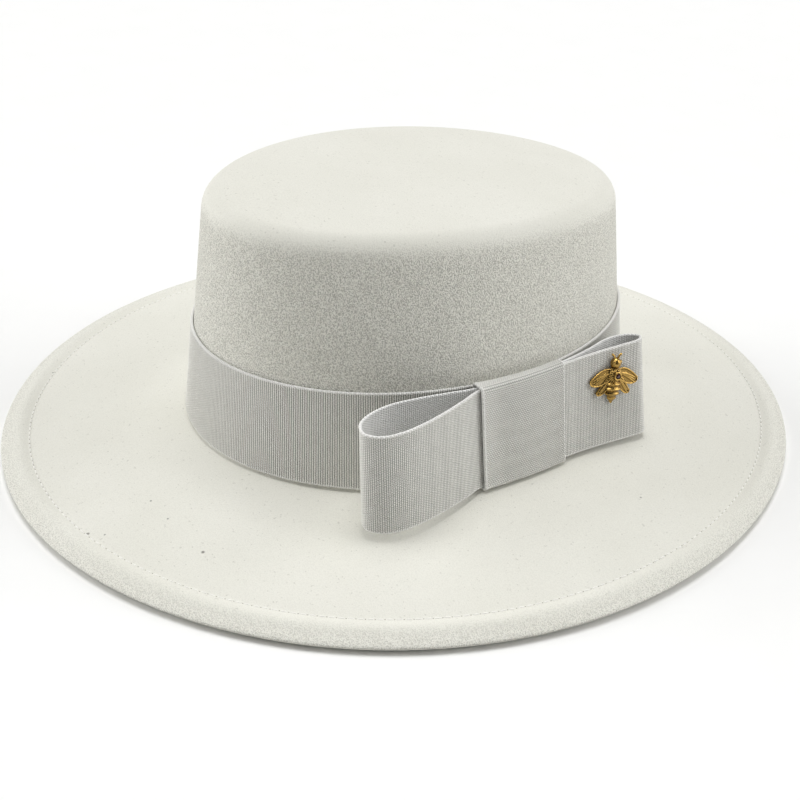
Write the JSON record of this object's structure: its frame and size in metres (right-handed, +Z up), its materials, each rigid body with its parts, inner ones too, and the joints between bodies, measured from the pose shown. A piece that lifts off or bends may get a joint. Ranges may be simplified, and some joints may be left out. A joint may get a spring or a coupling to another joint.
{
  "type": "wide-brimmed felt hat with bow",
  "caption": "Flat-topped felt hat with a wide sloping brim and turned hem, a ribbon band, a side bow and a bee pin, worn on the head.",
  "frame": {"origin": "middle of the hat on the surface that its rim rests on", "axes": "+Z up, -Y towards the front of the hat, +X towards the side that carries the bow"},
  "size_m": [0.3385, 0.365, 0.1212],
  "materials": {
    "felt": "off-white pressed wool felt with a short nap",
    "ribbon": "light grey ribbed elastic ribbon",
    "gold": "antique gold plated casting, dark in the grooves",
    "stone": "dark red faceted glass",
    "steel": "plain pin clutch, hidden inside the bow"
  },
  "bodies": {
    "root": {"felt_body": "felt", "hat_band": "ribbon", "bow_ribbon": "ribbon", "bow_knot": "ribbon", "bee_pin": "gold", "bee_stone": "stone", "pin_clutch": "steel"}
  },
  "joints": []
}
